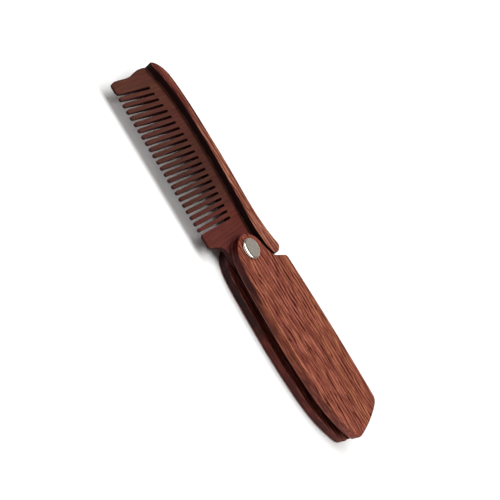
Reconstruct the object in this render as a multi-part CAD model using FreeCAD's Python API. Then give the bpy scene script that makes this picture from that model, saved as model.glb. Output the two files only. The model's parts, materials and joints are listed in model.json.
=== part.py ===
import FreeCAD, Part
import math
import os

from FreeCAD import Placement, Rotation, Vector

# Folding wooden beard comb, lying open on its rear face. Millimetres.
# The origin is where the pivot axis meets the resting face. +Z points up through the
# layers, +X runs along the handle and the open comb reaches out along -X, teeth to -Y.

# ---- layers, from the resting face up ----
SCALE_THICKNESS = 4.6
MIDDLE_LAYER = 5.0
BLADE_THICKNESS = 4.4
TOTAL_THICKNESS = 2 * SCALE_THICKNESS + MIDDLE_LAYER
MIDDLE_Z = TOTAL_THICKNESS / 2
STRIP_THICKNESS = (TOTAL_THICKNESS - BLADE_THICKNESS) / 2

# ---- how the comb sits on the pivot ----
OPEN_ANGLE = -1.0          # lean of the comb's own axis when open against its stop, degrees
CLOSED_ANGLE = 180.7       # the same axis when folded into the handle, degrees
FOLD_GAP = 0.32            # between the folded strips and the belly of the scales

# ---- teeth ----
FULL_TEETH = 22
TOOTH_PITCH = 3.18
TOOTH_GAP = 1.3
FIRST_TOOTH_X = -85.8      # centre of the full tooth nearest the far end
TOOTH_TIP_Y = -16.4
ROOT_CREST_X = -48.0       # the root line is a shallow arch with its crest here
ROOT_CREST_Y = 8.2
ROOT_ARCH = 0.0028         # drop of the root line per square millimetre from the crest
TAPER_START_Y = 7.5        # the blade thins from here to the tooth tips
TIP_THICKNESS = 1.3
PRISM_REACH = 110.0        # the tapering prism is longer and deeper than the blade
PRISM_BACK_Y = 30.0

# ---- pivot ----
TUBE_RADIUS = 2.6
TUBE_WALL = 0.5
RUNNING_CLEARANCE = 0.06
FIT_CLEARANCE = 0.04
BLADE_BOSS_RADIUS = 7.6
BOSS_START_ANGLE = -8      # where the heel runs into the boss, from straight down
BOSS_MIDDLE_ANGLE = 40
WASHER_RADIUS = 5.6
WASHER_THICKNESS = 0.25
CAP_RADIUS = 5.1
CAP_HEIGHT = 1.9
CAP_RIM_HEIGHT = 0.6
CAP_SHOULDER = 0.80        # radius of the dome's shoulder as a share of the cap's
CAP_INNER_SHOULDER = 0.72
CAP_SHOULDER_HEIGHT = 0.86  # its height as a share of the cap's
CAP_UNDERCUT = 0.35        # how far the rim tucks in at its foot
SHEET = 0.4                # wall of the pressed metal caps and flanges
FLANGE_RADIUS = 4.3
REAR_CAP_DEPTH = 1.2       # the rear head is sunk flush with the rear scale

# ---- finish ----
SCALE_EDGE_ROUND = 1.0
STRIP_EDGE_ROUND = 0.6
TIP_CORNER = 1.5
SPACER_WIDTH = 4.0
SPACER_END_WIDTH = 2.7
SPACER_INSIDE = [          # inner edge of the spacer at the far end, from belly to back
    Vector(96.3, 6.0, 0),
    Vector(96.4, 14.0, 0),
    Vector(95.2, 19.1, 0),
]
TOLERANCE = 0.01

# ---- handle outline, the same for both scales ----
NOTCH_TOP = Vector(9.3, 15.3, 0)
SHOULDER_LOW = Vector(11.6, 20.9, 0)
BACK_EDGE = [
    Vector(13.8, 22.5, 0),
    Vector(54.0, 23.6, 0),
    Vector(93.0, 23.2, 0),
]
SLANTED_END = [
    Vector(97.8, 18.6, 0),
    Vector(99.9, 10.0, 0),
    Vector(100.7, -0.8, 0),
]
BELLY = [
    Vector(98.2, -4.7, 0),
    Vector(95.0, -6.15, 0),
    Vector(82.0, -10.25, 0),
    Vector(66.0, -12.1, 0),
    Vector(48.0, -12.55, 0),
    Vector(30.0, -12.1, 0),
    Vector(21.0, -11.7, 0),
    Vector(12.5, -11.15, 0),
]
NOSE = [
    Vector(2.8, -9.7, 0),
    Vector(-4.1, -6.2, 0),
    Vector(-7.5, 1.6, 0),
    Vector(-3.5, 8.6, 0),
    Vector(3.6, 11.25, 0),
    Vector(8.1, 13.75, 0),
]

# ---- comb outline, drawn with the comb's own axis along -X ----
SPINE = [
    Vector(-97.3, 8.0, 0),
    Vector(-95.2, 12.1, 0),
    Vector(-91.1, 14.9, 0),
    Vector(-85.9, 16.2, 0),
    Vector(-76.0, 17.35, 0),
    Vector(-58.0, 18.1, 0),
    Vector(-40.0, 18.4, 0),
    Vector(-20.0, 18.0, 0),
    Vector(-8.0, 18.5, 0),
    Vector(4.6, 21.0, 0),
]
SPINE_END = [
    Vector(8.2, 17.4, 0),
    Vector(8.3, 15.7, 0),
]
STRIP_LIP = [
    Vector(7.6, 14.7, 0),
    Vector(5.2, 13.5, 0),
    Vector(-1.3, 11.95, 0),
]
FAR_END = [
    SPINE[0],
    Vector(-97.4, 5.2, 0),
    Vector(-96.4, 0.2, 0),
    Vector(-94.7, -4.8, 0),
    Vector(-94.4, -9.0, 0),
    Vector(-94.3, -12.6, 0),
]
FAR_GUARD_X = -92.0
HEEL_X = -9.9
HEEL_HOLLOW = [
    Vector(-7.5, -9.8, 0),
    Vector(-5.4, -8.3, 0),
]


def spline(points, start=None, end=None):
    """Smooth edge through the points, with end directions where they are given."""
    curve = Part.BSplineCurve()
    if start is None:
        curve.interpolate(Points=points)
    else:
        curve.interpolate(Points=points, InitialTangent=start, FinalTangent=end)
    return curve.toShape()


def bend(before, after):
    """Rounded corner from the end of one edge to the start of the next."""
    start = before.valueAt(before.LastParameter)
    end = after.valueAt(after.FirstParameter)
    reach = start.distanceToPoint(end)
    leaving = before.tangentAt(before.LastParameter) * reach
    arriving = after.tangentAt(after.FirstParameter) * reach
    return spline([start, end], leaving, arriving)


def line(start, end):
    return Part.makeLine(start, end)


def arc(start, middle, end):
    return Part.Arc(start, middle, end).toShape()


def board(edges, low, high):
    """Flat board with the given closed outline between two heights."""
    face = Part.Face(Part.Wire(edges))
    face.translate(Vector(0, 0, low))
    return face.extrude(Vector(0, 0, high - low))


def cylinder(radius, low, high):
    return Part.makeCylinder(radius, high - low, Vector(0, 0, low))


def revolved(profile):
    """Solid of revolution about the pivot axis from a closed profile in the XZ plane."""
    face = Part.Face(Part.Wire(profile))
    return face.revolve(Vector(0, 0, 0), Vector(0, 0, 1), 360)


def turned(vector, angle):
    return Rotation(Vector(0, 0, 1), angle).multVec(vector)


def placed_open(shape):
    """Turn a comb piece from its drawing axis to the open rest position."""
    shape.Placement = Placement(Vector(0, 0, 0), Rotation(Vector(0, 0, 1), OPEN_ANGLE))
    return shape


def round_outer_edges(solid, height, radius):
    """Round the long edges of a board that lie on the face at one height."""
    edges = []
    for edge in solid.Edges:
        box = edge.BoundBox
        if abs(box.ZMin - height) < TOLERANCE and abs(box.ZMax - height) < TOLERANCE:
            if box.DiagonalLength > 2 * radius and not is_pivot_circle(edge):
                edges.append(edge)
    return solid.makeFillet(radius, edges)


def is_pivot_circle(edge):
    return isinstance(edge.Curve, Part.Circle) and edge.Curve.Center.Length < TOTAL_THICKNESS + 1


def handle_outline():
    """Closed outline of a scale, clockwise from the notch, rounded at every corner."""
    shoulder = line(NOTCH_TOP, SHOULDER_LOW)
    back = arc(BACK_EDGE[0], BACK_EDGE[1], BACK_EDGE[2])
    end = spline(SLANTED_END)
    belly = spline(BELLY + NOSE)
    return [
        shoulder, bend(shoulder, back), back, bend(back, end), end,
        bend(end, belly), belly, bend(belly, shoulder),
    ]


def front_scale():
    solid = board(handle_outline(), TOTAL_THICKNESS - SCALE_THICKNESS, TOTAL_THICKNESS)
    solid = solid.cut(cylinder(TUBE_RADIUS + FIT_CLEARANCE, 0, TOTAL_THICKNESS + 1))
    return round_outer_edges(solid, TOTAL_THICKNESS, SCALE_EDGE_ROUND)


def rear_scale():
    solid = board(handle_outline(), 0, SCALE_THICKNESS)
    solid = solid.cut(cylinder(TUBE_RADIUS + FIT_CLEARANCE, -1, SCALE_THICKNESS + 1))
    solid = solid.cut(cylinder(CAP_RADIUS + FIT_CLEARANCE, -1, REAR_CAP_DEPTH))
    return round_outer_edges(solid, 0, SCALE_EDGE_ROUND)


def handle_spacer():
    """Strip along the back edge and down the far end, holding the scales apart."""
    back, corner, end = handle_outline()[2:5]
    foot = SLANTED_END[-1] - Vector(SPACER_END_WIDTH, 0, 0)
    inner = [foot] + SPACER_INSIDE + [BACK_EDGE[0] - Vector(0, SPACER_WIDTH, 0)]
    edges = [back, corner, end, line(SLANTED_END[-1], foot)]
    for start, stop in zip(inner, inner[1:] + BACK_EDGE[:1]):
        edges.append(line(start, stop))
    return board(edges, SCALE_THICKNESS, SCALE_THICKNESS + MIDDLE_LAYER)


def folded_belly():
    """Belly of the scales seen from the comb, set off by the folding gap."""
    points = []
    for point in reversed(BELLY[1:]):
        lowered = point - Vector(0, FOLD_GAP, 0)
        points.append(turned(lowered, -CLOSED_ANGLE))
    return points


def spine_edges():
    """Outer edge from the far end along the spine to the rounded pivot end."""
    spine = spline(SPINE)
    end = line(SPINE_END[0], SPINE_END[1])
    return [spine, bend(spine, end), end]


def strip_outline():
    edges = spine_edges()
    inner = spline(STRIP_LIP + folded_belly())
    return edges + [bend(edges[-1], inner), inner, bend(inner, edges[0])]


def front_spine_strip():
    solid = board(strip_outline(), TOTAL_THICKNESS - STRIP_THICKNESS, TOTAL_THICKNESS)
    return placed_open(round_outer_edges(solid, TOTAL_THICKNESS, STRIP_EDGE_ROUND))


def rear_spine_strip():
    solid = board(strip_outline(), 0, STRIP_THICKNESS)
    return placed_open(round_outer_edges(solid, 0, STRIP_EDGE_ROUND))


def root_line(x):
    return ROOT_CREST_Y - ROOT_ARCH * (x - ROOT_CREST_X) ** 2


def guard_corner(x, towards):
    """Rounded corner of a guard tooth beside its gap, from the tip line or back to it."""
    flat = Vector(x + towards * TIP_CORNER, TOOTH_TIP_Y, 0)
    side = Vector(x, TOOTH_TIP_Y + TIP_CORNER, 0)
    inset = TIP_CORNER * (1 - math.sqrt(0.5))
    middle = Vector(x + towards * inset, TOOTH_TIP_Y + inset, 0)
    return flat, middle, side


def tooth_edges():
    """Every gap and full tooth in turn, from the far guard tooth to the heel guard tooth."""
    half_gap = TOOTH_GAP / 2
    half_tooth = (TOOTH_PITCH - TOOTH_GAP) / 2
    first_gap = FIRST_TOOTH_X - TOOTH_PITCH / 2
    flat, middle, entry = guard_corner(first_gap - half_gap, -1)
    edges = [arc(flat, middle, entry)]
    for index in range(FULL_TEETH + 1):
        gap_x = first_gap + index * TOOTH_PITCH
        crown = Vector(gap_x, root_line(gap_x), 0)
        root_in = crown - Vector(half_gap, half_gap, 0)
        root_out = crown - Vector(-half_gap, half_gap, 0)
        edges.append(line(entry, root_in))
        edges.append(arc(root_in, crown, root_out))
        if index < FULL_TEETH:
            tip = Vector(gap_x + TOOTH_PITCH / 2, TOOTH_TIP_Y, 0)
            tip_in = tip + Vector(-half_tooth, half_tooth, 0)
            entry = tip + Vector(half_tooth, half_tooth, 0)
            edges.append(line(root_out, tip_in))
            edges.append(arc(tip_in, tip, entry))
    flat, middle, side = guard_corner(root_out.x, 1)
    edges.append(line(root_out, side))
    edges.append(arc(side, middle, flat))
    return edges


def blade_outline():
    """Closed outline of the blade, anticlockwise from the far end of the spine."""
    teeth = tooth_edges()
    far_end = spline(FAR_END)
    far_guard = line(Vector(FAR_GUARD_X, TOOTH_TIP_Y, 0), teeth[0].valueAt(teeth[0].FirstParameter))
    heel_corner = Vector(HEEL_X, TOOTH_TIP_Y, 0)
    heel_guard = line(teeth[-1].valueAt(teeth[-1].LastParameter), heel_corner)
    boss_low = turned(Vector(0, -BLADE_BOSS_RADIUS, 0), BOSS_START_ANGLE)
    boss_between = turned(Vector(0, -BLADE_BOSS_RADIUS, 0), BOSS_MIDDLE_ANGLE)
    boss_right = Vector(BLADE_BOSS_RADIUS, 0, 0)
    heel = [
        heel_guard,
        line(heel_corner, HEEL_HOLLOW[0]),
        spline(HEEL_HOLLOW + [boss_low]),
        arc(boss_low, boss_between, boss_right),
        line(boss_right, SPINE_END[-1]),
    ]
    spine = list(reversed(spine_edges()))
    return spine + [far_end, bend(far_end, far_guard), far_guard] + teeth + heel


def taper_profile():
    """Cross-section prism: full thickness at the spine, thin at the tooth tips."""
    half_full = BLADE_THICKNESS / 2
    half_tip = TIP_THICKNESS / 2
    outline = [
        Vector(-PRISM_REACH, PRISM_BACK_Y, MIDDLE_Z - half_full),
        Vector(-PRISM_REACH, TAPER_START_Y, MIDDLE_Z - half_full),
        Vector(-PRISM_REACH, TOOTH_TIP_Y, MIDDLE_Z - half_tip),
        Vector(-PRISM_REACH, TOOTH_TIP_Y, MIDDLE_Z + half_tip),
        Vector(-PRISM_REACH, TAPER_START_Y, MIDDLE_Z + half_full),
        Vector(-PRISM_REACH, PRISM_BACK_Y, MIDDLE_Z + half_full),
    ]
    face = Part.Face(Part.makePolygon(outline + outline[:1]))
    return face.extrude(Vector(2 * PRISM_REACH, 0, 0))


def comb_blade():
    low = MIDDLE_Z - BLADE_THICKNESS / 2
    high = MIDDLE_Z + BLADE_THICKNESS / 2
    solid = board(blade_outline(), low, high).common(taper_profile())
    solid = solid.fuse(cylinder(BLADE_BOSS_RADIUS, low, high))
    solid = solid.cut(cylinder(TUBE_RADIUS + RUNNING_CLEARANCE, low - 1, high + 1))
    return placed_open(solid.removeSplitter())


def pivot_washer(low):
    ring = cylinder(WASHER_RADIUS, low, low + WASHER_THICKNESS)
    return ring.cut(cylinder(TUBE_RADIUS + FIT_CLEARANCE, low - 1, low + 1))


def front_washer():
    return pivot_washer(TOTAL_THICKNESS - SCALE_THICKNESS - WASHER_THICKNESS)


def rear_washer():
    return pivot_washer(SCALE_THICKNESS)


def front_rivet_cap():
    """Pressed dome with its rim curled in under the socket's flange."""
    base = TOTAL_THICKNESS
    shoulder_z = base + CAP_HEIGHT * CAP_SHOULDER_HEIGHT
    rim = Vector(CAP_RADIUS, 0, base + CAP_RIM_HEIGHT)
    foot = Vector(CAP_RADIUS - CAP_UNDERCUT, 0, base)
    tuck = Vector(CAP_RADIUS - CAP_UNDERCUT * 0.3, 0, base + CAP_RIM_HEIGHT / 3)
    crown = Vector(0, 0, base + CAP_HEIGHT)
    outer_shoulder = Vector(CAP_RADIUS * CAP_SHOULDER, 0, shoulder_z)
    inner_foot = Vector(FLANGE_RADIUS + FIT_CLEARANCE, 0, base)
    inner_wall = Vector(FLANGE_RADIUS + FIT_CLEARANCE, 0, base + CAP_RIM_HEIGHT)
    inner_crown = Vector(0, 0, base + CAP_HEIGHT - SHEET)
    inner_shoulder = Vector(CAP_RADIUS * CAP_INNER_SHOULDER, 0, shoulder_z - SHEET)
    profile = [
        line(inner_foot, foot),
        arc(foot, tuck, rim),
        spline([rim, outer_shoulder, crown], Vector(0, 0, 1), Vector(-1, 0, 0)),
        line(crown, inner_crown),
        spline([inner_crown, inner_shoulder, inner_wall], Vector(1, 0, 0), Vector(0, 0, -1)),
        line(inner_wall, inner_foot),
    ]
    return revolved(profile)


def front_rivet_socket():
    """Flanged tube; the blade turns on its outside."""
    flange = cylinder(FLANGE_RADIUS, TOTAL_THICKNESS, TOTAL_THICKNESS + SHEET)
    tube = cylinder(TUBE_RADIUS, REAR_CAP_DEPTH, TOTAL_THICKNESS + SHEET)
    bore = cylinder(TUBE_RADIUS - TUBE_WALL, REAR_CAP_DEPTH - 1, TOTAL_THICKNESS + 1)
    return flange.fuse(tube).cut(bore).removeSplitter()


def rear_rivet_post():
    """Flanged post driven up inside the socket."""
    flange_top = REAR_CAP_DEPTH - FIT_CLEARANCE
    flange = cylinder(FLANGE_RADIUS, flange_top - SHEET, flange_top)
    post_radius = TUBE_RADIUS - TUBE_WALL - FIT_CLEARANCE
    post = cylinder(post_radius, flange_top - SHEET, TOTAL_THICKNESS - SCALE_THICKNESS / 2)
    return flange.fuse(post).removeSplitter()


def rear_rivet_cap():
    """Shallow pressed cup over the post's flange, flush with the rear scale."""
    cup = cylinder(CAP_RADIUS, 0, REAR_CAP_DEPTH)
    hollow = cylinder(FLANGE_RADIUS + FIT_CLEARANCE, SHEET, REAR_CAP_DEPTH + 1)
    return cup.cut(hollow)


SUB_PARTS = {
    "front_scale": front_scale,
    "rear_scale": rear_scale,
    "handle_spacer": handle_spacer,
    "comb_blade": comb_blade,
    "front_spine_strip": front_spine_strip,
    "rear_spine_strip": rear_spine_strip,
    "front_rivet_cap": front_rivet_cap,
    "front_rivet_socket": front_rivet_socket,
    "rear_rivet_post": rear_rivet_post,
    "rear_rivet_cap": rear_rivet_cap,
    "front_washer": front_washer,
    "rear_washer": rear_washer,
}

os.makedirs("parts", exist_ok=True)
for node, build in SUB_PARTS.items():
    build().exportStep("parts/" + node + ".step")
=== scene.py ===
import json
import math

import bmesh
import bpy
from mathutils import Matrix, Vector


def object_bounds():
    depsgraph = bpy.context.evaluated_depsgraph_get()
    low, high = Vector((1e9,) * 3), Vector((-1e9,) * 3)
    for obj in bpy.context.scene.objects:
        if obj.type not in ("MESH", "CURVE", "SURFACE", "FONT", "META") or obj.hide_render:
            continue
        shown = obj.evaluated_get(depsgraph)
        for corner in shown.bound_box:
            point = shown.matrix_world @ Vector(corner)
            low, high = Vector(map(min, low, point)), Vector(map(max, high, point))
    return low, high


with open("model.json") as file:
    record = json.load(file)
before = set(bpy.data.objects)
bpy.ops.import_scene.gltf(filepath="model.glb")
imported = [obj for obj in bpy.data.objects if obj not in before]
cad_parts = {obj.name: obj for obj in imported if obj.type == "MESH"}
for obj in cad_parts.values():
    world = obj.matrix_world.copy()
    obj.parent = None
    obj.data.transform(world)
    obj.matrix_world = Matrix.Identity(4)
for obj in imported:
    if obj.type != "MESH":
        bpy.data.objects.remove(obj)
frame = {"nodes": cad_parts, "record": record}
cad_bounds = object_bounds()
nodes = frame["nodes"]

MM = 0.001

# ---- camera: where the comb is looked at from ----
CAMERA_TARGET = Vector((1.34, 17.11, 0.0)) * MM
CAMERA_DISTANCE = 316.7 * MM
CAMERA_ELEVATION = math.radians(38.63)
CAMERA_AZIMUTH = math.radians(-3.52)
CAMERA_ROLL = math.radians(60.74)
CAMERA_LENS = 46.5
SENSOR_WIDTH = 36.0

# ---- room: its tones, each after the sine of the height above the horizon ----
ROOM_TONES = [
    (0.0, (1.0, 1.0, 1.0)),
    (0.13, (1.0, 1.0, 1.0)),
    (0.22, (0.14, 0.14, 0.14)),
    (0.30, (0.13, 0.13, 0.13)),
    (0.55, (0.107, 0.103, 0.099)),
    (1.0, (0.095, 0.095, 0.095)),
]

# ---- lights: positions and sizes in metres, powers in watts ----
SOFTBOX_POSITION = (0.0, 0.03, 0.75)
SOFTBOX_SIZE = (1.6, 0.36)
SOFTBOX_POWER = 11.0
CARD_POSITION = (0.0, 0.62, 0.50)
CARD_SIZE = (0.9, 0.6)
CARD_POWER = 0.60

# ---- table: its paper tones, and the distances where it starts to glow and glows fully ----
TABLE_TONES = [(0.3, (0.90, 0.90, 0.895)), (0.7, (0.93, 0.93, 0.925))]
TABLE_HALF_WIDTH = 3.0
TABLE_GLOW = (0.22, 0.60)

# ---- the wood's figure: features per metre along the grain and across it ----
BANDS = (9.0, 120.0)
STREAKS = (50.0, 700.0)
FIBRES = (140.0, 1500.0)
DASHES = (105.0, 640.0)
PORES = (260.0, 2400.0)
LINE_SPACING = 2.05 * MM
LINE_DRIFT = 3.8 * MM
UPRIGHT_FIGURE = 0.25       # share of the lines and pores that upright faces keep

# ---- other patterns: features per metre along X, Y and Z ----
GRAIN_DRIFT = (38.0, 90.0, 90.0)
UNDULATION = (60.0, 90.0, 90.0)
EDGE_BLOTCHES = (120.0, 120.0, 300.0)
BURNT_EDGE = (220.0, 220.0, 500.0)
METAL_HAZE = (420.0, 420.0, 420.0)
METAL_HAIRLINES = (900.0, 9000.0, 900.0)
PAPER_TOOTH = (900.0, 900.0, 900.0)

# ---- wood colours: dark, middle and light figure, then the open pores ----
SCALE_FIGURE = ((0.110, 0.022, 0.012), (0.190, 0.046, 0.0245), (0.335, 0.108, 0.059))
SCALE_PORES = (0.048, 0.006, 0.002)
STRIP_FIGURE = ((0.100, 0.023, 0.013), (0.196, 0.057, 0.034), (0.350, 0.138, 0.086))
STRIP_PORES = (0.075, 0.012, 0.006)
BLADE_FIGURE = ((0.052, 0.0145, 0.0092), (0.070, 0.0205, 0.0132), (0.095, 0.030, 0.020))
BLADE_PORES = (0.050, 0.012, 0.007)

# ---- shades multiply the figure; stains cover it; the names with PAINTED are painted light, painted shade and a painted highlight ----
WARM_BAND_SHADE = (1.03, 1.08, 0.98)
COOL_BAND_SHADE = (0.96, 0.90, 1.00)
SAWN_FRONT_SHADE = (0.27, 0.055, 0.07)
FRONT_WALL_PAINTED_LIGHT = (1.02, 0.82, 0.76)
REAR_WALL_SAWN_AND_PAINTED_SHADE = (0.11, 0.035, 0.05)
SAWN_REAR_WALL_SHADE = (0.49, 0.26, 0.33)
SLOT_PAINTED_LIGHT = (1.00, 1.05, 1.60)
FRONT_ARRIS_PAINTED_HIGHLIGHT = (0.34, 0.17, 0.14)
SCALE_BACK_PAINTED_SHADE = (0.050, 0.009, 0.006)
STRIP_FAR_SHADE = (0.60, 0.44, 0.44)
STRIP_SIDE_STAIN = (0.095, 0.034, 0.024)
STRIP_BURNT_STAIN = (0.016, 0.0045, 0.0040)
STRIP_BACK_PAINTED_SHADE = (0.055, 0.012, 0.008)
HEEL_SHADE = (1.22, 0.86, 0.98)
HANDLED_SHADE = (0.80, 0.84, 0.83)
FLANK_STAIN = (0.030, 0.006, 0.005)

CHROME_COLOUR = (0.70, 0.63, 0.54)
STEEL_COLOUR = (0.62, 0.62, 0.61)
HAZE_DIMMING = 0.88

# ---- where each finish, painted light and painted shade included, goes from none to all of it, in metres along X ----
FRONT_PAINTED_LIGHT_FADE = (0.030, 0.052)
REAR_PAINTED_SHADE_FADE = (0.042, 0.060)
STRIP_FAR_END = (-0.046, -0.074)
BLADE_HEEL = (-0.032, -0.014)
HANDLED_FAR = (-0.070, -0.050)
HANDLED_NEAR = (-0.018, -0.034)

# ---- the same by height ----
FRONT_SCALE = (8.5 * MM, 9.5 * MM)
SLOT_FLOOR = (4.3 * MM, 4.55 * MM)
SLOT_CEILING = (9.8 * MM, 9.62 * MM)
FRONT_ARRIS = (10.05 * MM, 9.8 * MM)
BURNT_ABOVE = (10.0 * MM, 10.8 * MM)
BURNT_BELOW = (4.2 * MM, 3.4 * MM)

SHARP_ANGLE = math.radians(32)
BLADE_ARRIS_WIDTH = 0.30 * MM


# ================= small node helpers =================

def new_material(name):
    """Material with an empty tree holding a Principled shader and its output."""
    material = bpy.data.materials.new(name)
    material.use_nodes = True
    tree = material.node_tree
    tree.nodes.clear()
    output = tree.nodes.new("ShaderNodeOutputMaterial")
    shader = tree.nodes.new("ShaderNodeBsdfPrincipled")
    tree.links.new(shader.outputs["BSDF"], output.inputs["Surface"])
    return material, tree, shader


def grain_coordinates(tree, turn=0.0, wander=0.0):
    """Object coordinates with the grain along X, wandering gently sideways."""
    place = tree.nodes.new("ShaderNodeTexCoord")
    spin = tree.nodes.new("ShaderNodeMapping")
    spin.inputs["Rotation"].default_value = (0.0, 0.0, turn)
    tree.links.new(place.outputs["Object"], spin.inputs["Vector"])
    drift = tree.nodes.new("ShaderNodeTexNoise")
    drift.inputs["Scale"].default_value = 1.0
    drift.inputs["Detail"].default_value = 2.0
    tree.links.new(stretched(tree, spin.outputs["Vector"], GRAIN_DRIFT), drift.inputs["Vector"])
    centred = tree.nodes.new("ShaderNodeVectorMath")
    centred.operation = "SUBTRACT"
    centred.inputs[1].default_value = (0.5, 0.5, 0.5)
    tree.links.new(drift.outputs["Color"], centred.inputs[0])
    shift = tree.nodes.new("ShaderNodeVectorMath")
    shift.operation = "MULTIPLY_ADD"
    shift.inputs[1].default_value = (0.0, wander, wander)
    tree.links.new(centred.outputs["Vector"], shift.inputs[0])
    tree.links.new(spin.outputs["Vector"], shift.inputs[2])
    return shift.outputs["Vector"]


def stretched(tree, vector, scale):
    """Coordinates multiplied by a scale for each axis."""
    node = tree.nodes.new("ShaderNodeMapping")
    node.inputs["Scale"].default_value = scale
    tree.links.new(vector, node.inputs["Vector"])
    return node.outputs["Vector"]


def noise(tree, vector, detail=4.0, roughness=0.55):
    """Noise value, mostly between 0.3 and 0.7."""
    node = tree.nodes.new("ShaderNodeTexNoise")
    node.inputs["Scale"].default_value = 1.0
    node.inputs["Detail"].default_value = detail
    node.inputs["Roughness"].default_value = roughness
    tree.links.new(vector, node.inputs["Vector"])
    return node.outputs["Fac"]


def figure(tree, vector, size, detail=3.0, roughness=0.55):
    """Noise drawn out along the grain."""
    along, across = size
    return noise(tree, stretched(tree, vector, (along, across, across)), detail, roughness)


def pattern(tree, size, detail=4.0):
    """Noise fixed to the object, with a size for each axis."""
    return noise(tree, stretched(tree, grain_coordinates(tree), size), detail)


def math_node(tree, operation, *values):
    """Result of a Math node; each value may be a number or a socket."""
    node = tree.nodes.new("ShaderNodeMath")
    node.operation = operation
    for socket, value in zip(node.inputs, values):
        if isinstance(value, float):
            socket.default_value = value
        else:
            tree.links.new(value, socket)
    return node.outputs[0]


def plus(tree, first, second):
    return math_node(tree, "ADD", first, second)


def times(tree, first, second):
    return math_node(tree, "MULTIPLY", first, second)


def smooth_step(tree, value, low, high):
    """0 at the first value, 1 at the second, eased between; the first may be the larger."""
    node = tree.nodes.new("ShaderNodeMapRange")
    node.interpolation_type = "SMOOTHSTEP"
    flipped = low > high
    node.inputs["From Min"].default_value = min(low, high)
    node.inputs["From Max"].default_value = max(low, high)
    node.inputs["To Min"].default_value = 1.0 if flipped else 0.0
    node.inputs["To Max"].default_value = 0.0 if flipped else 1.0
    tree.links.new(value, node.inputs["Value"])
    return node.outputs["Result"]


def surface_place(tree):
    """X and Z of the surface, how far it has turned upright, and how far it faces away behind."""
    place = tree.nodes.new("ShaderNodeTexCoord")
    spot = tree.nodes.new("ShaderNodeSeparateXYZ")
    tree.links.new(place.outputs["Object"], spot.inputs[0])
    facing = tree.nodes.new("ShaderNodeSeparateXYZ")
    tree.links.new(place.outputs["Normal"], facing.inputs[0])
    upright = math_node(tree, "SUBTRACT", 1.0, math_node(tree, "ABSOLUTE", facing.outputs["Z"]))
    backward = plus(tree, facing.outputs["Y"], times(tree, facing.outputs["X"], 0.35))
    behind = smooth_step(tree, backward, 0.03, 0.20)
    return spot.outputs["X"], spot.outputs["Z"], upright, behind


def ramp(tree, value, stops):
    """Colour ramp; stops are (position, colour) with colours as red, green, blue."""
    node = tree.nodes.new("ShaderNodeValToRGB")
    elements = node.color_ramp.elements
    while len(elements) < len(stops):
        elements.new(0.5)
    for element, (position, colour) in zip(elements, stops):
        element.position = position
        element.color = (*colour, 1.0)
    tree.links.new(value, node.inputs["Fac"])
    return node.outputs["Color"]


def grey_ramp(tree, value, low, high, dark, light):
    """Ramp from one grey level to another between two input values."""
    return ramp(tree, value, [(low, (dark,) * 3), (high, (light,) * 3)])


def mix(tree, factor, first, second, blend="MIX"):
    """Colour mix; the factor may be a number or a socket."""
    node = tree.nodes.new("ShaderNodeMix")
    node.data_type = "RGBA"
    node.blend_type = blend
    if isinstance(factor, float):
        node.inputs[0].default_value = factor
    else:
        tree.links.new(factor, node.inputs[0])
    for socket, value in ((node.inputs[6], first), (node.inputs[7], second)):
        if isinstance(value, tuple):
            socket.default_value = (*value, 1.0)
        else:
            tree.links.new(value, socket)
    return node.outputs[2]


def shaded(tree, tone, shade):
    """Tone multiplied by a shade."""
    return mix(tree, 1.0, tone, shade, "MULTIPLY")


def bump(tree, height, strength, distance, below=None):
    """Normal with relief, laid over another normal if there is one."""
    node = tree.nodes.new("ShaderNodeBump")
    node.inputs["Strength"].default_value = strength
    node.inputs["Distance"].default_value = distance
    tree.links.new(height, node.inputs["Height"])
    if below is not None:
        tree.links.new(below, node.inputs["Normal"])
    return node.outputs["Normal"]


# ================= materials =================

def grain_lines(tree, grain, streaks, shown):
    """Waves across the grain that drift with the streaks, from -1 to 1 on lying faces."""
    across = tree.nodes.new("ShaderNodeSeparateXYZ")
    tree.links.new(grain, across.inputs[0])
    depth = plus(tree, across.outputs["Y"], across.outputs["Z"])
    place = plus(tree, depth, times(tree, streaks, LINE_DRIFT))
    waves = math_node(tree, "SINE", times(tree, place, 2 * math.pi / LINE_SPACING))
    return times(tree, waves, shown)


def wood_grain(tree, shades, pore_colour, turn, wander, contrast, dash_strength):
    """Colour, pore mask and fibre height of an open-pored hardwood."""
    grain = grain_coordinates(tree, turn, wander)
    bands = figure(tree, grain, BANDS)
    streaks = figure(tree, grain, STREAKS, 4.0, 0.6)
    fibres = figure(tree, grain, FIBRES, 5.0, 0.65)
    dashes = figure(tree, grain, DASHES, 2.0, 0.5)
    pores = figure(tree, grain, PORES, 2.0)
    _, _, upright, _ = surface_place(tree)
    lying = smooth_step(tree, upright, 0.9, 0.3)
    shown = plus(tree, times(tree, lying, 1.0 - UPRIGHT_FIGURE), UPRIGHT_FIGURE)
    lines = grain_lines(tree, grain, streaks, shown)

    dark, middle, light = shades
    blend = plus(tree, mix(tree, 0.5, streaks, fibres), times(tree, lines, -0.06))
    tone = ramp(tree, blend, [(0.5 - contrast, dark), (0.5, middle), (0.5 + contrast, light)])
    warm = shaded(tree, tone, WARM_BAND_SHADE)
    cool = shaded(tree, tone, COOL_BAND_SHADE)
    tone = mix(tree, smooth_step(tree, bands, 0.40, 0.62), cool, warm)

    gaps = times(tree, math_node(tree, "SUBTRACT", dashes, 0.5), 2.6)
    broken = plus(tree, times(tree, lines, 0.45), gaps)
    long_dash = times(tree, smooth_step(tree, broken, 0.32, 0.58), dash_strength)
    short_pore = times(tree, smooth_step(tree, pores, 0.56, 0.64), 0.5 * dash_strength)
    pore_mask = times(tree, math_node(tree, "MAXIMUM", long_dash, short_pore), shown)
    return mix(tree, pore_mask, tone, pore_colour), pore_mask, fibres


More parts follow.
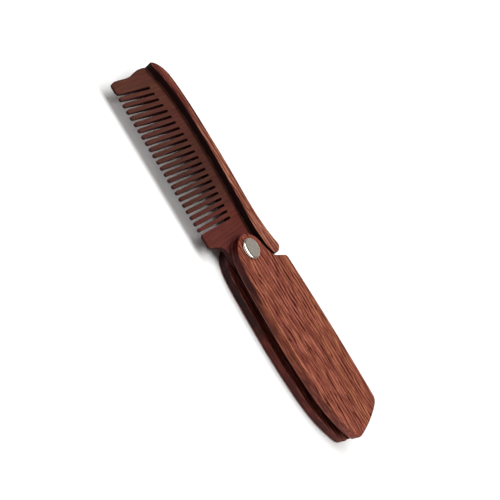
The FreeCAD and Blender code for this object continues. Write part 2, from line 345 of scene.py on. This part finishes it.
def finish_wood(tree, shader, tone, pore_mask, fibres, roughness, sheen):
    """Oiled surface: fibres and open pores in roughness and relief."""
    tree.links.new(tone, shader.inputs["Base Color"])
    gloss = grey_ramp(tree, fibres, 0.25, 0.75, roughness + 0.08, roughness - 0.06)
    tree.links.new(mix(tree, pore_mask, gloss, (0.85, 0.85, 0.85)), shader.inputs["Roughness"])
    height = math_node(tree, "SUBTRACT", times(tree, fibres, 0.5), pore_mask)
    relief = bump(tree, pattern(tree, UNDULATION, 2.0), 0.25, 0.4 * MM)
    tree.links.new(bump(tree, height, 0.3, 0.1 * MM, relief), shader.inputs["Normal"])
    shader.inputs["Specular IOR Level"].default_value = sheen


def scale_wood():
    """Red-brown handle scales with dark cut edges. Painted light lightens the front scale's edges
    away from the pivot and the slot's inner faces; painted shade darkens the rear scale's edges
    near the pivot and the faces turned away behind; a painted highlight runs along the front
    scale's lower arris.
    """
    material, tree, shader = new_material("scale_wood_figure")
    tone, pore_mask, fibres = wood_grain(
        tree, SCALE_FIGURE, SCALE_PORES, turn=0.0, wander=0.0034, contrast=0.10, dash_strength=1.0)
    x, z, upright, behind = surface_place(tree)
    edge = smooth_step(tree, upright, 0.45, 0.9)
    front = smooth_step(tree, z, *FRONT_SCALE)
    blotch = pattern(tree, EDGE_BLOTCHES, 3.0)
    reach = plus(tree, x, times(tree, blotch, 0.03))

    # painted light: the front scale's cut edges grow lighter away from the pivot
    front_painted_light = times(tree, smooth_step(tree, reach, *FRONT_PAINTED_LIGHT_FADE), front)
    # painted shade: the rear scale's cut edges are darker near the pivot, fading away from it
    rear = mix(tree, smooth_step(tree, reach, *REAR_PAINTED_SHADE_FADE), REAR_WALL_SAWN_AND_PAINTED_SHADE, SAWN_REAR_WALL_SHADE)
    cut_tone_and_painted_shade = mix(tree, front, rear, SAWN_FRONT_SHADE)
    mottle = grey_ramp(tree, blotch, 0.40, 0.60, 0.60, 1.0)
    # edge tone: the cut wood's dark colour with the painted light and painted shade above, mottled
    edge_shade = shaded(tree, mix(tree, front_painted_light, cut_tone_and_painted_shade, FRONT_WALL_PAINTED_LIGHT), mottle)
    tone = mix(tree, edge, tone, shaded(tree, tone, edge_shade))

    # painted light: the slot's inner faces between the scales are made lighter and less red
    slot = times(tree, smooth_step(tree, z, *SLOT_FLOOR), smooth_step(tree, z, *SLOT_CEILING))
    tone = mix(tree, slot, tone, shaded(tree, tone, SLOT_PAINTED_LIGHT))
    # painted highlight: a light line along the front scale's lower arris
    arris = times(tree, times(tree, smooth_step(tree, z, *FRONT_ARRIS), front), edge)
    tone = mix(tree, times(tree, arris, 0.35), tone, FRONT_ARRIS_PAINTED_HIGHLIGHT)
    # painted shade: faces turned away behind are darkened nearly to black
    tone = mix(tree, times(tree, behind, 0.85), tone, SCALE_BACK_PAINTED_SHADE)
    finish_wood(tree, shader, tone, pore_mask, fibres, roughness=0.5, sheen=0.12)
    return material


def strip_wood():
    """Orange-brown spine strips whose sides are burnt nearly black by the cutter, with painted
    shade on the faces turned away behind.
    """
    material, tree, shader = new_material("strip_wood_figure")
    tone, pore_mask, fibres = wood_grain(
        tree, STRIP_FIGURE, STRIP_PORES, turn=math.radians(-3.0), wander=0.0010, contrast=0.095,
        dash_strength=0.95)
    x, z, upright, behind = surface_place(tree)
    far_end = smooth_step(tree, x, *STRIP_FAR_END)
    tone = mix(tree, far_end, tone, shaded(tree, tone, STRIP_FAR_SHADE))

    edge = smooth_step(tree, upright, 0.35, 0.7)
    ragged = math_node(tree, "SUBTRACT", pattern(tree, BURNT_EDGE), 0.5)
    level = plus(tree, z, times(tree, ragged, 2.4 * MM))
    above = smooth_step(tree, level, *BURNT_ABOVE)
    below = smooth_step(tree, level, *BURNT_BELOW)
    burnt = math_node(tree, "MAXIMUM", above, below)
    tone = mix(tree, edge, tone, mix(tree, burnt, STRIP_SIDE_STAIN, STRIP_BURNT_STAIN))
    # painted shade: faces turned away behind are darkened
    tone = mix(tree, times(tree, behind, 0.8), tone, STRIP_BACK_PAINTED_SHADE)
    finish_wood(tree, shader, tone, pore_mask, fibres, roughness=0.55, sheen=0.10)
    return material


def dark_wood():
    """Dark brown blade, redder at the heel and darkest mid-way, with scorched tooth flanks."""
    material, tree, shader = new_material("blade_wood_figure")
    tone, pore_mask, fibres = wood_grain(
        tree, BLADE_FIGURE, BLADE_PORES, turn=math.radians(90.0), wander=0.0015, contrast=0.24,
        dash_strength=0.35)
    x, _, upright, _ = surface_place(tree)
    heel = smooth_step(tree, x, *BLADE_HEEL)
    tone = mix(tree, heel, tone, shaded(tree, tone, HEEL_SHADE))
    handled = times(tree, smooth_step(tree, x, *HANDLED_FAR), smooth_step(tree, x, *HANDLED_NEAR))
    tone = mix(tree, handled, tone, shaded(tree, tone, HANDLED_SHADE))
    edge = smooth_step(tree, upright, 0.08, 0.45)
    tone = mix(tree, times(tree, edge, 0.9), tone, FLANK_STAIN)
    finish_wood(tree, shader, tone, pore_mask, fibres, roughness=0.62, sheen=0.10)
    return material


def polished_metal(name, colour, roughness):
    """Plated metal with faint wear haze and hairline scratches."""
    material, tree, shader = new_material(name)
    place = grain_coordinates(tree, turn=0.5)
    haze = noise(tree, stretched(tree, place, METAL_HAZE), 4.0)
    hairlines = noise(tree, stretched(tree, place, METAL_HAIRLINES), 2.0)
    dimmed = tuple(channel * HAZE_DIMMING for channel in colour)
    tone = mix(tree, smooth_step(tree, haze, 0.35, 0.75), colour, dimmed)
    tree.links.new(tone, shader.inputs["Base Color"])
    worn = grey_ramp(tree, haze, 0.3, 0.8, roughness, roughness + 0.12)
    tree.links.new(worn, shader.inputs["Roughness"])
    tree.links.new(bump(tree, hairlines, 0.08, 0.03 * MM), shader.inputs["Normal"])
    shader.inputs["Metallic"].default_value = 1.0
    return material


def paper_white():
    """Plain pale table top with a very fine tooth, lit from below well away from the comb."""
    material, tree, shader = new_material("table_white")
    tooth = pattern(tree, PAPER_TOOTH, 3.0)
    tree.links.new(ramp(tree, tooth, TABLE_TONES), shader.inputs["Base Color"])
    tree.links.new(bump(tree, tooth, 0.05, 0.1 * MM), shader.inputs["Normal"])
    shader.inputs["Roughness"].default_value = 0.9
    shader.inputs["Specular IOR Level"].default_value = 0.1
    place = tree.nodes.new("ShaderNodeTexCoord")
    distance = tree.nodes.new("ShaderNodeVectorMath")
    distance.operation = "LENGTH"
    tree.links.new(place.outputs["Object"], distance.inputs[0])
    glow = smooth_step(tree, distance.outputs["Value"], *TABLE_GLOW)
    tree.links.new(glow, shader.inputs["Emission Strength"])
    shader.inputs["Emission Color"].default_value = (1.0, 1.0, 1.0, 1.0)
    return material


MATERIAL_OF_SLOT = {
    "scale_wood": scale_wood(),
    "strip_wood": strip_wood(),
    "dark_wood": dark_wood(),
    "rivet_chrome": polished_metal("rivet_chrome_worn", CHROME_COLOUR, 0.10),
    "rivet_steel": polished_metal("rivet_steel_plain", STEEL_COLOUR, 0.28),
}


# ================= carried-over CAD pieces =================

def dress_cad_nodes():
    """Give every CAD node its slot's material and smooth shading with crisp arrises."""
    for part in frame["record"]["subparts"]:
        mesh = nodes[part["node"]].data
        mesh.materials.clear()
        mesh.materials.append(MATERIAL_OF_SLOT[part["material_slot"]])
        mesh.polygons.foreach_set("use_smooth", [True] * len(mesh.polygons))
        mesh.set_sharp_from_angle(angle=SHARP_ANGLE)


def ease_edges(node_name, width):
    """Take the sharpness off a board's arrises."""
    easing = nodes[node_name].modifiers.new("eased_edges", "BEVEL")
    easing.width = width
    easing.segments = 2
    easing.limit_method = "ANGLE"
    easing.angle_limit = math.radians(40)
    easing.harden_normals = True


# ================= light, floor and camera =================

def table_top():
    """Large flat table under the comb."""
    builder = bmesh.new()
    bmesh.ops.create_grid(builder, x_segments=8, y_segments=8, size=TABLE_HALF_WIDTH)
    mesh = bpy.data.meshes.new("table_top")
    builder.to_mesh(mesh)
    builder.free()
    mesh.materials.append(paper_white())
    table = bpy.data.objects.new("table_top", mesh)
    table.location.z = cad_bounds[0][2]
    bpy.context.scene.collection.objects.link(table)


def soft_light(name, position, size, power):
    """Softbox at a position, facing the pivot; size is its length along X and its breadth."""
    data = bpy.data.lights.new(name, "AREA")
    data.shape = "RECTANGLE"
    data.size, data.size_y = size
    data.energy = power
    lamp = bpy.data.objects.new(name, data)
    lamp.location = position
    lamp.rotation_euler = Vector(position).to_track_quat("Z", "Y").to_euler()
    bpy.context.scene.collection.objects.link(lamp)


def studio():
    """Overhead softbox a little behind the comb, and a room with white walls low down."""
    world = bpy.data.worlds.new("studio")
    world.use_nodes = True
    tree = world.node_tree
    direction = tree.nodes.new("ShaderNodeTexCoord")
    parts = tree.nodes.new("ShaderNodeSeparateXYZ")
    tree.links.new(direction.outputs["Generated"], parts.inputs[0])
    room = ramp(tree, parts.outputs["Z"], ROOM_TONES)
    tree.links.new(room, tree.nodes["Background"].inputs["Color"])
    bpy.context.scene.world = world
    soft_light("overhead_softbox", SOFTBOX_POSITION, SOFTBOX_SIZE, SOFTBOX_POWER)
    soft_light("back_card", CARD_POSITION, CARD_SIZE, CARD_POWER)
    bpy.context.scene.view_settings.view_transform = "Standard"


def camera():
    """Camera that looks down on the open comb, rolled so that the comb lies diagonally."""
    back = Vector((
        math.sin(CAMERA_AZIMUTH) * math.cos(CAMERA_ELEVATION),
        -math.cos(CAMERA_AZIMUTH) * math.cos(CAMERA_ELEVATION),
        math.sin(CAMERA_ELEVATION),
    ))
    level = Vector((math.cos(CAMERA_AZIMUTH), math.sin(CAMERA_AZIMUTH), 0.0))
    rise = back.cross(level)
    right = level * math.cos(CAMERA_ROLL) + rise * math.sin(CAMERA_ROLL)
    up = rise * math.cos(CAMERA_ROLL) - level * math.sin(CAMERA_ROLL)
    data = bpy.data.cameras.new("camera")
    data.lens = CAMERA_LENS
    data.sensor_width = SENSOR_WIDTH
    data.clip_start = 0.01
    view = bpy.data.objects.new("camera", data)
    turn = Matrix((right, up, back)).transposed().to_4x4()
    view.matrix_world = Matrix.Translation(CAMERA_TARGET + back * CAMERA_DISTANCE) @ turn
    bpy.context.scene.collection.objects.link(view)
    bpy.context.scene.camera = view


dress_cad_nodes()
ease_edges("comb_blade", BLADE_ARRIS_WIDTH)
table_top()
studio()
camera()
